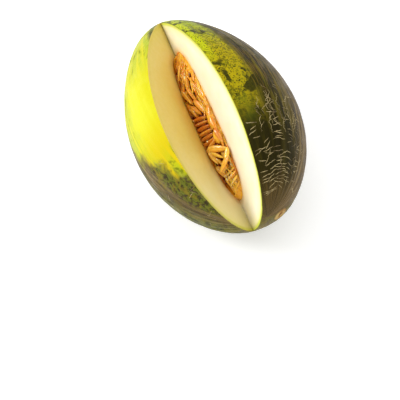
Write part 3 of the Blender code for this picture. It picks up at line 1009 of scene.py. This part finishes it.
def buildPulp(seeds):
    look = pulpLook
    length = cavity["length"] / 2 - look["gap"]
    x = -np.cos(poleTurns(look["stepsAlong"])) * length
    low, high = look["across"]
    seen = np.linspace(low, high, look["stepsAcross"])
    hidden = np.linspace(high, low + math.tau, look["stepsHidden"] + 2)[1:-1]
    angle = np.concatenate([seen, hidden])
    along, around = np.meshgrid(x, angle, indexing="ij")
    wall = cavityRadius(along, look["gap"])
    bed = np.minimum(np.maximum(cavityRadius(along, cavity["bed"]), wall - cavity["bed"]), wall)

    # Under each seed the pulp comes up to hold it, and between seeds it sinks
    count = look["stepsAcross"]
    tree = surfaceTree(seeds)
    start = np.maximum(bed[:, :count] - 4 * mm, 0)
    hits = radialHits(tree, along[:, :count], around[:, :count], start, False)
    found = ~np.isnan(hits)
    under = np.where(found, hits + look["hug"], 0.0)
    base = bed[:, :count].copy()
    strands = RandomField(41)
    wander = 0.5 * RandomField(42).at(along / (14 * mm), around * 4)
    flow = strands.ridges(along / (13 * mm) + wander, around * 15 + 2 * wander + along / (16 * mm), 2.2)
    fineFlow = RandomField(43).ridges(along / (6 * mm) + wander, around * 26 - along / (9 * mm), 3.0)
    lumps = RandomField(44).at(along / (5 * mm), around * 6)
    relief = look["strandRise"] * (flow - 0.4) + 0.6 * look["strandRise"] * (fineFlow - 0.3)
    relief = relief + look["lumpRise"] * lumps
    pits = smoothStep(0.1, 0.75, RandomField(45).at(along / (7 * mm) + 7, around * 9))
    top = np.where(found, np.maximum(under, base), base)
    hold = blurred(top - base, 1.6, 1.4)
    free = 1 - np.clip(blurred(found.astype(float), 1.2, 1.2) * 1.4, 0, 1)
    loose = (relief[:, :count] - look["pit"] * pits[:, :count]) * free
    level = base + np.maximum(hold, (top - base) * 0.8) + loose
    for mass in pulpMasses:
        away = ((along - mass["along"]) / mass["long"]) ** 2 + ((around - mass["across"]) / mass["wide"]) ** 2
        swell = mass["rise"] * np.exp(-away[:, :count] ** 1.5)
        level = np.maximum(level, base + swell + 0.8 * relief[:, :count])

    # At the cut faces it meets the flesh nearly flush
    fromRight, fromLeft = (value[:, :count] for value in wedgeInside(aboutAxis(0 * bed, bed, around)))
    ragged = 0.7 * mm * RandomField(46).at(along / (4 * mm), around * 3)[:, :count]
    lip = np.maximum(
        smoothStep(look["rightLip"], 0.4 * mm, fromRight + ragged),
        smoothStep(look["leftLip"], 0, fromLeft + ragged),
    )
    rim = wall[:, :count] + 0.15 * mm + 0.6 * relief[:, :count]
    level = level * (1 - lip) + np.maximum(level, rim) * lip
    x, seenWall = along[:, :count], wall[:, :count]
    groove = look["groove"] * smoothStep(2.6 * mm, 0.5 * mm, fromLeft) * smoothStep(-56 * mm, -44 * mm, x)
    level = np.clip(level - groove * smoothStep(58 * mm, 46 * mm, x), None, seenWall + 4.5 * mm)
    inside = np.minimum(fromRight, fromLeft)
    level = np.where(inside < -0.8 * mm, seenWall, level)
    level = np.minimum(level, np.where(inside < 0.25 * mm, seenWall, level))
    radius = wall.copy()
    radius[:, :count] = np.maximum(level, 0.3 * mm)
    points, faces = closedShell(aboutAxis(along, radius, around), axisEnds(length))
    # Height and sinking below the neighbours, which the material turns into painted shade
    soft = blurred(radius, 4, 4)
    rise = np.clip((radius - bed) / cavity["bed"] * 0.55 + 0.30, 0, 1)
    hollowShade = np.clip((soft - radius) / (0.6 * mm), 0, 1)
    marks = dict(pulpRise=np.append(rise, (0.6, 0.6)), pulpHollowShade=np.append(hollowShade, (0, 0)))
    pulp = meshObject("seedBedPulp", moved(points, cavityFrame), faces, [pulpMaterial()], marks)
    finishPiece(pulp, "seed_pulp", "seed_pulp")
    return pulp


# Lines laid over a surface, swept into round threads by Geometry Nodes

def geometryTree(name, **inputs):
    # A tree that takes a geometry, the named inputs and a material, and gives a geometry
    tree = bpy.data.node_groups.new(name, "GeometryNodeTree")
    kinds = dict(Geometry="NodeSocketGeometry", **inputs, Material="NodeSocketMaterial")
    for key, kind in kinds.items():
        tree.interface.new_socket(key, in_out="INPUT", socket_type=kind)
    tree.interface.new_socket("Geometry", in_out="OUTPUT", socket_type="NodeSocketGeometry")
    got = tree.nodes.new("NodeGroupInput").outputs
    return tree, Bench(tree), got, tree.nodes.new("NodeGroupOutput").inputs


def endTree(bench, geometry, got, out):
    plain = bench.add("GeometryNodeRealizeInstances", Geometry=geometry).outputs[0]
    painted = bench.add("GeometryNodeSetMaterial", Geometry=plain, Material=got["Material"]).outputs[0]
    bench.feed(out["Geometry"], painted)


def threadTree():
    tree, bench, got, out = geometryTree("sweptThreads", Thickness="NodeSocketFloat", Sides="NodeSocketInt")
    curve = bench.add("GeometryNodeMeshToCurve", Mesh=got["Geometry"]).outputs[0]
    named = dict(data_type="FLOAT")
    width = bench.add("GeometryNodeInputNamedAttribute", named, Name="halfWidth").outputs[0]
    ring = bench.add("GeometryNodeCurvePrimitiveCircle", Resolution=got["Sides"]).outputs["Curve"]
    swept = bench.add(
        "GeometryNodeCurveToMesh", Curve=curve, Profile_Curve=ring, Fill_Caps=True,
        Scale=bench.times(width, got["Thickness"]),
    )
    soft = bench.add("GeometryNodeSetShadeSmooth", Geometry=swept.outputs[0]).outputs[0]
    endTree(bench, soft, got, out)
    return tree


def withTree(made, tree, name, **values):
    # Runs a Geometry Nodes tree on an object with the given inputs, and keeps the plain mesh
    step = made.modifiers.new(tree.name, "NODES")
    step.node_group = tree
    for item in tree.interface.items_tree:
        if item.in_out == "INPUT" and item.name in values:
            step[item.identifier] = values[item.name]
    return appliedObject(made, name)


def threadObject(name, lines, widths, tree, made, sides, **marks):
    # Lines are lists of points, and widths give half the thread's width at each point
    points = np.concatenate(lines)
    edges, start = [], 0
    for line in lines:
        edges += [(start + step, start + step + 1) for step in range(len(line) - 1)]
        start += len(line)
    mesh = bpy.data.meshes.new(name)
    mesh.from_pydata(points, edges, [])
    marks["halfWidth"] = np.concatenate(widths)
    for key, values in marks.items():
        writeMark(mesh, key, values)
    return withTree(linkedObject(name, mesh), tree, name, Thickness=1.0, Sides=sides, Material=made)


# Strands of pulp over the seeds

strandLook = dict(points=16, sides=8, sink=0.42, limp=2.0)
# Bundles of strands: where they lie along (mm) and across (degrees) the cavity, their turn from its length,
# and their reach and half width in mm
strandBundles = [
    dict(count=30, along=(-60, -24), across=(-48, -2), turn=(-14, 4), reach=(8, 18), width=(0.45, 0.95)),
    dict(count=12, along=(-34, -6), across=(-12, 6), turn=(-8, 8), reach=(12, 22), width=(0.45, 0.9)),
    dict(count=14, along=(-8, 26), across=(-2, 9), turn=(-10, 12), reach=(10, 18), width=(0.5, 1.1)),
    dict(count=6, along=(-26, -4), across=(-46, -24), turn=(0, 24), reach=(8, 14), width=(0.4, 0.7)),
    dict(count=9, along=(26, 60), across=(0, 9), turn=(-12, 4), reach=(8, 16), width=(0.4, 0.8)),
    dict(count=14, along=(40, 64), across=(-44, -8), turn=(-16, 16), reach=(6, 13), width=(0.4, 0.9)),
    dict(count=10, along=(-50, 58), across=(-53, -47), turn=(-4, 4), reach=(8, 18), width=(0.35, 0.6)),
]


def buildStrands(seeds, pulp, tree):
    look = strandLook
    draws = np.random.RandomState(71)
    paths = []
    for bundle in strandBundles:
        for _ in range(bundle["count"]):
            middle = draws.uniform(*bundle["along"]) * mm
            across = draws.uniform(*bundle["across"]) * deg
            turn = draws.uniform(*bundle["turn"]) * deg
            reach = draws.uniform(*bundle["reach"]) * mm
            width = draws.uniform(*bundle["width"]) * mm
            step = np.linspace(-0.5, 0.5, look["points"])
            bend = draws.uniform(-0.08, 0.08) * (4 * step * step - 0.5)
            bend = bend + 0.012 * np.sin(step * draws.uniform(6, 10))
            x = middle + reach * (step * math.cos(turn) - bend * math.sin(turn))
            side = reach * (step * math.sin(turn) + bend * math.cos(turn))
            x = np.clip(x, -64.5 * mm, 64.5 * mm)
            paths.append((x, across + side / (16 * mm), width))
    along = np.stack([path[0] for path in paths])
    around = np.stack([path[1] for path in paths])
    width = np.array([path[2] for path in paths])[:, None]
    top = radialHits(surfaceTree(seeds + [pulp]), along, around, np.full(along.shape, 0.03), True)
    ground = cavityRadius(along)
    top = np.where(np.isnan(top), ground - 2 * mm, top)
    soft = blurred(top, 0.01, look["limp"])
    lifted = np.maximum(soft, top - 0.3 * mm)
    lifted = blurred(lifted, 0.01, 1.0)
    radius = np.minimum(lifted + width * (1 - 2 * look["sink"]), ground + 0.9 * mm)
    taper = np.sin(np.linspace(0.12, math.pi - 0.12, look["points"]))[None, :] ** 0.6
    points = aboutAxis(along, radius, around)
    inside = np.minimum(*wedgeInside(points))
    lines, widths, rises = [], [], []
    for number in range(len(paths)):
        keep = inside[number] > 0.2 * mm
        if keep.sum() < 6:
            continue
        first, last = np.argmax(keep), len(keep) - np.argmax(keep[::-1])
        lines.append(moved(points[number, first:last], cavityFrame))
        widths.append((width * taper)[number, first:last])
        rises.append(np.full(last - first, draws.uniform(0.35, 1.0)))
    strands = threadObject(
        "pulpStrands", lines, widths, tree, pulpMaterial("pulpStrand", 0.1), look["sides"],
        pulpRise=np.concatenate(rises),
    )
    finishPiece(strands, "seed_pulp")


# Cork: thin pale cracks that healed, raised on the stem half

corkLook = dict(
    tan=paint(170, 146, 88), pale=paint(206, 186, 130), dark=paint(112, 90, 46), sides=5, proud=0.35,
)
# Ladders of short cross cracks: the angle from the top and the shares along the fruit that they span, with
# their spacing, reach and half width in mm
corkLadders = [
    dict(angle=8, along=(0.50, 0.95), gap=3.4, reach=(5, 11), lean=-6, width=0.30),
    dict(angle=18, along=(0.66, 0.95), gap=3.6, reach=(6, 13), lean=-34, width=0.28),
    dict(angle=31, along=(0.46, 0.90), gap=2.6, reach=(6, 12), lean=-8, width=0.30),
    dict(angle=43, along=(0.22, 0.88), gap=4.4, reach=(4, 9), lean=8, width=0.22),
    dict(angle=56, along=(0.30, 0.84), gap=5.0, reach=(3, 8), lean=16, width=0.20),
]
corkRunners = dict(count=18, along=(0.35, 0.8), angle=(14, 66), reach=(16, 40), width=0.22)
corkScatter = dict(count=300, width=0.17, reach=(3, 8))


def corkMaterial():
    look = corkLook
    made, bench, shader = newMaterial("corkyCrack", Roughness=0.75, Sheen_Weight=0.2)
    place = objectPlace(bench)
    grain = bench.noise(place, 700.0, 4.0, 0.6)
    along, _, across, up, _ = bench.group(fruitPlace)
    faint = bench.noise(bench.joined(along, across, up), 6.0, 3.0)
    colour = bench.mixed(bench.between(grain, 0.35, 0.65), look["tan"], look["pale"])
    colour = bench.mixed(bench.between(faint, 0.42, 0.62), colour, look["dark"])
    bench.feed(shader.inputs["Base Color"], colour)
    bench.feed(shader.inputs["Roughness"], bench.between(grain, 0.3, 0.7, 0.6, 0.85))
    bench.feed(shader.inputs["Normal"], bench.bump(grain, 0.2 * mm, 0.5))
    return made


def crackLine(draws, share, angle, turn, reach, width):
    # One wandering crack on the skin: turn 0 runs round the fruit, and 90 degrees along it
    count = max(5, int(reach / (1.1 * mm)))
    step = np.linspace(-0.5, 0.5, count)
    wobble = np.cumsum(draws.normal(0, 0.035, count))
    wobble -= np.linspace(wobble[0], wobble[-1], count)
    side = reach * (step * math.cos(turn) - wobble * math.sin(turn))
    ahead = reach * (step * math.sin(turn) + wobble * math.cos(turn))
    slant = math.sqrt(max(1e-3, 1 - share * share))
    shares = np.clip(share + ahead / (fruit["length"] / 2) * slant, -0.985, 0.985)
    ring = max(float(ringRadius(np.array(share))), 8 * mm)
    points, outward, _, _ = skinPoints(shares, angle + side / ring)
    taper = np.sin(np.linspace(0.1, math.pi - 0.1, count)) ** 0.5 * draws.uniform(0.75, 1.2, count)
    halfWidth = width * taper
    points = points + outward * (halfWidth * (2 * corkLook["proud"] - 1))[:, None]
    return points, halfWidth


def buildCork(tree):
    draws = np.random.RandomState(97)
    lines, widths = [], []

    def lay(share, angle, turn, reach, width):
        points, halfWidth = crackLine(draws, share, angle, turn, reach, width)
        world = moved(points, fruitFrame)
        seen = moved(world, wedgeFrame.inverted())
        inWedge = np.minimum(*wedgeDepths(seen[:, 1], seen[:, 2]))
        if inWedge.max() < -1.0 * mm and world[:, 2].min() > 0.6 * mm:
            lines.append(world)
            widths.append(halfWidth)

    for ladder in corkLadders:
        first, last = ladder["along"]
        share = first
        while share < last:
            angle = (ladder["angle"] + draws.normal(0, 1.6)) * deg
            turn = (ladder["lean"] + draws.normal(0, 14)) * deg
            if draws.random_sample() < 0.86:
                lay(share, angle, turn, draws.uniform(*ladder["reach"]) * mm, ladder["width"] * mm)
            slant = math.sqrt(1 - share * share)
            share += ladder["gap"] * mm / (fruit["length"] / 2) * slant * draws.uniform(0.55, 1.5)
    for _ in range(corkRunners["count"]):
        lay(
            draws.uniform(*corkRunners["along"]), draws.uniform(*corkRunners["angle"]) * deg,
            draws.normal(90, 14) * deg, draws.uniform(*corkRunners["reach"]) * mm, corkRunners["width"] * mm,
        )
    for _ in range(corkScatter["count"]):
        share = 1 - draws.random_sample() ** 1.6 * 1.5
        turn = draws.normal(0, 30) if draws.random_sample() < 0.7 else draws.normal(90, 20)
        angle = draws.uniform(-180, 180)
        if share < 0.35 and -100 < angle < 40 or share > 0.94:
            continue
        reach = draws.uniform(*corkScatter["reach"]) * mm
        lay(share, angle * deg, turn * deg, reach, corkScatter["width"] * mm)
    cork = threadObject("corkyCracks", lines, widths, tree, corkMaterial(), corkLook["sides"])
    finishPiece(cork, "rind_and_flesh")


# Juice: small wet beads over the seeds and the pulp, scattered by Geometry Nodes

juiceLook = dict(
    amber=paint(252, 196, 104), clear=paint(255, 232, 178), density=1.2e6, spacing=0.9 * mm,
    size=(0.22, 0.75),
)


def juiceMaterial():
    look = juiceLook
    made, bench, shader = newMaterial(
        "melonJuice", Coat_Weight=1.0, Coat_Roughness=0.02, Roughness=0.08, IOR=1.34, Subsurface_Weight=0.4,
        Subsurface_Radius=(1.0, 0.6, 0.2), Subsurface_Scale=0.002,
    )
    tone = bench.noise(objectPlace(bench), 240.0, 2.0)
    colour = bench.mixed(bench.between(tone, 0.4, 0.6), look["amber"], look["clear"])
    bench.feed(shader.inputs["Base Color"], colour)
    return made


def beadTree():
    number = "NodeSocketFloat"
    tree, bench, got, out = geometryTree(
        "juiceBeads", Density=number, Spacing=number, Smallest=number, Largest=number, Seed="NodeSocketInt"
    )
    named = dict(data_type="FLOAT")
    share = bench.add("GeometryNodeInputNamedAttribute", named, Name="wetness").outputs[0]
    spread = bench.add(
        "GeometryNodeDistributePointsOnFaces", dict(distribute_method="POISSON"), Mesh=got["Geometry"],
        Distance_Min=got["Spacing"], Density_Max=got["Density"], Density_Factor=share, Seed=got["Seed"],
    )
    bead = bench.add("GeometryNodeMeshUVSphere", Segments=8, Rings=6, Radius=1.0).outputs[0]
    soft = bench.add("GeometryNodeSetShadeSmooth", Geometry=bead).outputs[0]
    draw = bench.add("FunctionNodeRandomValue", named, Seed=got["Seed"])
    bench.feed(draw.inputs[2], got["Smallest"])
    bench.feed(draw.inputs[3], got["Largest"])
    size = draw.outputs[1]
    placed = bench.add(
        "GeometryNodeInstanceOnPoints", Points=spread.outputs["Points"], Instance=soft,
        Rotation=spread.outputs["Rotation"], Scale=bench.joined(size, size, bench.times(size, 0.4)),
    )
    endTree(bench, placed.outputs[0], got, out)
    return tree


def buildJuice(seeds, pulp):
    # The beads grow on a copy of the wet surfaces, most of all in the stem half of the cavity
    look = juiceLook
    shape = bmesh.new()
    for made in seeds + [pulp]:
        shape.from_mesh(made.data)
    mesh = bpy.data.meshes.new("juiceBeads")
    shape.to_mesh(mesh)
    shape.free()
    mesh.materials.clear()
    local = moved(readVectors(mesh.vertices, "co"), cavityFrame.inverted())
    rising = readVectors(mesh.vertices, "normal") @ np.array(wedgeFrame.to_3x3())[:, 2]
    x, y, z = local.T
    inside = np.minimum(*wedgeInside(local))
    seen = (inside > 0.9 * mm) & (np.hypot(y, z) > 0.72 * cavityRadius(x)) & (rising > 0.25)
    patchy = smoothStep(-0.1, 0.5, RandomField(61).at(x / (6 * mm), y / (5 * mm)))
    wet = 0.12 + 0.9 * smoothStep(30 * mm, 46 * mm, x) * smoothStep(64 * mm, 58 * mm, x)
    wet += 0.35 * smoothStep(14 * mm, 4 * mm, np.abs(x + 36 * mm))
    writeMark(mesh, "wetness", seen * patchy * wet)
    small, large = look["size"]
    beads = withTree(
        linkedObject("juiceBeads", mesh), beadTree(), "juiceBeads", Density=look["density"],
        Spacing=look["spacing"], Smallest=small * mm, Largest=large * mm, Seed=7, Material=juiceMaterial(),
    )
    finishPiece(beads, "seed_pulp")


seeds = buildSeeds()
print(f"{len(seeds)} seeds done")
pulp = buildPulp(seeds)
print("pulp done")
threads = threadTree()
buildStrands(seeds, pulp, threads)
buildJuice(seeds, pulp)
buildCork(threads)
print("strands and cork done")


# Floor, light and camera

studio = dict(
    azimuth=65.1 * deg, elevation=54.5 * deg, distance=2.0, viewWidth=311.2 * mm, aimRight=-8.4 * mm,
    aimUp=-60.76 * mm, sensor=36.0, keyWay=(-0.295, -0.745, 0.581), keyDistance=1.3, keySize=0.55,
    keyPower=9.0, worldStrength=1.0, worldShine=0.12, floorGlow=0.3, floorHalf=4.0,
)


def buildStudio():
    look = studio
    scene = bpy.context.scene
    scene.view_settings.view_transform = "Standard"
    azimuth, elevation = look["azimuth"], look["elevation"]
    right = Vector((math.cos(azimuth), math.sin(azimuth), 0))
    back = Vector((
        math.sin(azimuth) * math.cos(elevation), -math.cos(azimuth) * math.cos(elevation), math.sin(elevation)
    ))
    above = back.cross(right)
    centre = Vector((0, 0, axisHeight)) + right * look["aimRight"] + above * look["aimUp"]
    lens = bpy.data.cameras.new("studioCamera")
    lens.sensor_width = look["sensor"]
    lens.lens = lens.sensor_width * look["distance"] / look["viewWidth"]
    lens.clip_end = 20.0
    camera = bpy.data.objects.new("studioCamera", lens)
    turn = Matrix((right, above, back)).transposed().to_4x4()
    camera.matrix_world = Matrix.Translation(centre + back * look["distance"]) @ turn
    scene.collection.objects.link(camera)
    scene.camera = camera

    way = Vector(look["keyWay"]).normalized()
    lamp = bpy.data.lights.new("keyLight", "AREA")
    lamp.shape, lamp.size, lamp.energy = "DISK", look["keySize"], look["keyPower"]
    key = bpy.data.objects.new("keyLight", lamp)
    key.matrix_world = Matrix.Translation(
        Vector((0, 0, axisHeight)) + way * look["keyDistance"]
    ) @ way.to_track_quat("Z", "Y").to_matrix().to_4x4()
    scene.collection.objects.link(key)

    world = bpy.data.worlds.new("studioWhite")
    world.use_nodes = True
    bench = Bench(world.node_tree)
    background = world.node_tree.nodes["Background"]
    background.inputs["Color"].default_value = (1, 1, 1, 1)
    glossy = bench.add("ShaderNodeLightPath").outputs["Is Glossy Ray"]
    strength = bench.between(glossy, 0.0, 1.0, look["worldStrength"], look["worldShine"], "LINEAR")
    bench.feed(background.inputs["Strength"], strength)
    scene.world = world

    made, bench, shader = newMaterial(
        "paleFloor", Roughness=0.9, Emission_Color=(1, 1, 1, 1), Emission_Strength=look["floorGlow"]
    )
    shade = bench.noise(objectPlace(bench), 3.0, 2.0)
    bench.feed(shader.inputs["Base Color"], bench.mixed(shade, (0.93, 0.93, 0.93, 1), (0.95, 0.95, 0.95, 1)))
    half = look["floorHalf"]
    corners = [(-half, -half, 0), (half, -half, 0), (half, half, 0), (-half, half, 0)]
    floor = meshObject("studioFloor", corners, [(0, 1, 2, 3)], [made], smooth=False)


buildStudio()
print("studio done")
